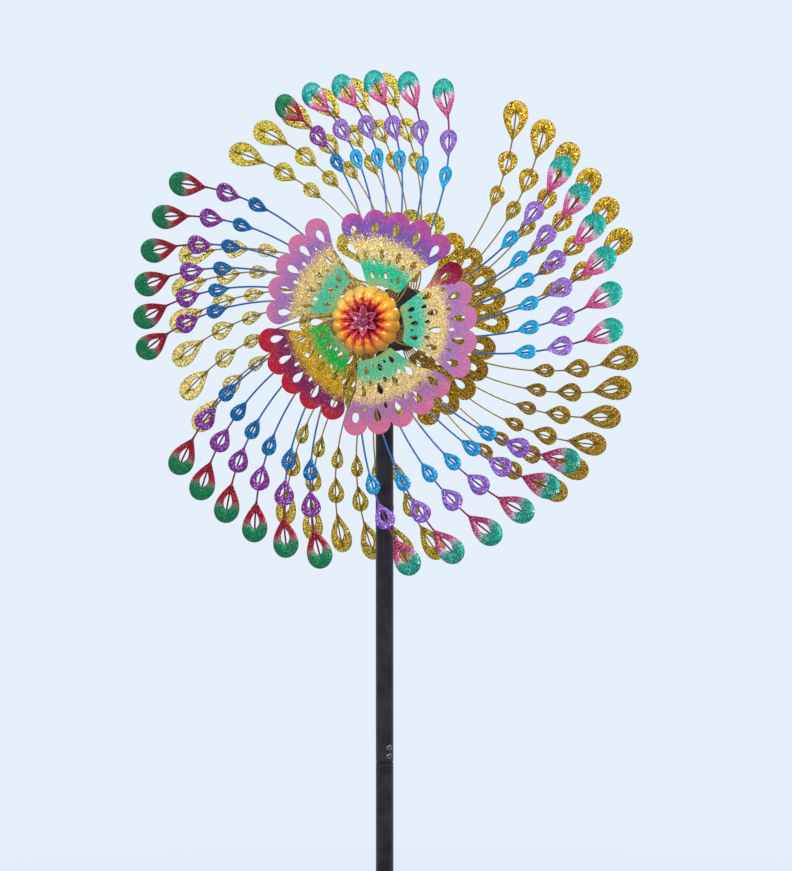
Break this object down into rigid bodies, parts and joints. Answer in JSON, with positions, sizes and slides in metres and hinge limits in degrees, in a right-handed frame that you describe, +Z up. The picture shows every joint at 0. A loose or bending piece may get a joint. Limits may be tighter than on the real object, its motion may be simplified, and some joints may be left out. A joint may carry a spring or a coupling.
{
  "type": "kinetic wind sculpture",
  "caption": "Garden wind spinner: two counter-rotating rotors of pierced fan plates and curved feather wires with teardrop tips, on a sectional pole with a pronged ground stake.",
  "frame": {"origin": "middle of the ground plate's underside, at ground level under the pole's axis", "axes": "+Z up the pole, -Y the side that the painted front rotor faces, +X to the right seen from the front"},
  "size_m": [0.6141, 0.2008, 1.9064],
  "materials": {
    "bronze_paint": "satin dark bronze powder coat",
    "black_paint": "semi-gloss black",
    "gold_paint": "glitter gold",
    "front_fan_paint": "glitter bands: turquoise, gold, purple, pink",
    "front_feather_paint": "glitter: blue, purple, teal and crimson drops",
    "rear_fan_paint": "glitter gold",
    "rear_feather_paint": "glitter gold",
    "front_flower_paint": "yellow rim shading to crimson",
    "rear_flower_paint": "glitter gold",
    "front_star_paint": "magenta gloss",
    "rear_star_paint": "gold gloss",
    "bearing_steel": "ground steel",
    "zinc_steel": "zinc-plated",
    "black_plastic": "moulded"
  },
  "bodies": {
    "stand": {"axle": "zinc_steel", "front_axle_sleeve": "black_paint", "front_inner_bearing_core": "bearing_steel", "front_inner_washer": "zinc_steel", "front_lock_nut": "zinc_steel", "front_outer_bearing_core": "bearing_steel", "front_outer_washer": "zinc_steel", "ground_plate": "bronze_paint", "ground_prong_1": "bronze_paint", "ground_prong_2": "bronze_paint", "ground_prong_3": "bronze_paint", "ground_prong_4": "bronze_paint", "lower_joint_screw_1": "zinc_steel", "lower_joint_screw_2": "zinc_steel", "lower_pole_tube": "bronze_paint", "middle_pole_tube": "bronze_paint", "pole_top_cap": "black_plastic", "rear_axle_sleeve": "black_paint", "rear_inner_bearing_core": "bearing_steel", "rear_inner_washer": "zinc_steel", "rear_lock_nut": "zinc_steel", "rear_outer_bearing_core": "bearing_steel", "rear_outer_washer": "zinc_steel", "upper_joint_screw_1": "zinc_steel", "upper_joint_screw_2": "zinc_steel", "upper_pole_tube": "bronze_paint"},
    "front_rotor": {"front_fan_1": "front_fan_paint", "front_fan_2": "front_fan_paint", "front_fan_3": "front_fan_paint", "front_fan_4": "front_fan_paint", "front_fan_5": "front_fan_paint", "front_feathers_1": "front_feather_paint", "front_feathers_2": "front_feather_paint", "front_feathers_3": "front_feather_paint", "front_feathers_4": "front_feather_paint", "front_feathers_5": "front_feather_paint", "front_flower_dome": "front_flower_paint", "front_flower_rivet": "front_star_paint", "front_flower_star": "front_star_paint", "front_hub_barrel": "gold_paint", "front_hub_disc": "black_paint", "front_inner_bearing_race": "bearing_steel", "front_outer_bearing_race": "bearing_steel"},
    "rear_rotor": {"rear_fan_1": "rear_fan_paint", "rear_fan_2": "rear_fan_paint", "rear_fan_3": "rear_fan_paint", "rear_fan_4": "rear_fan_paint", "rear_fan_5": "rear_fan_paint", "rear_feathers_1": "rear_feather_paint", "rear_feathers_2": "rear_feather_paint", "rear_feathers_3": "rear_feather_paint", "rear_feathers_4": "rear_feather_paint", "rear_feathers_5": "rear_feather_paint", "rear_flower_dome": "rear_flower_paint", "rear_flower_rivet": "rear_star_paint", "rear_flower_star": "rear_star_paint", "rear_hub_barrel": "gold_paint", "rear_hub_disc": "black_paint", "rear_inner_bearing_race": "bearing_steel", "rear_outer_bearing_race": "bearing_steel"}
  },
  "joints": [
    {"name": "front_spin", "type": "hinge", "parent": "stand", "child": "front_rotor", "pos_m": [0, -0.075, 1.37], "axis": [0, 1, 0], "continuous": true},
    {"name": "rear_spin", "type": "hinge", "parent": "stand", "child": "rear_rotor", "pos_m": [0, 0.075, 1.37], "axis": [0, 1, 0], "continuous": true}
  ]
}
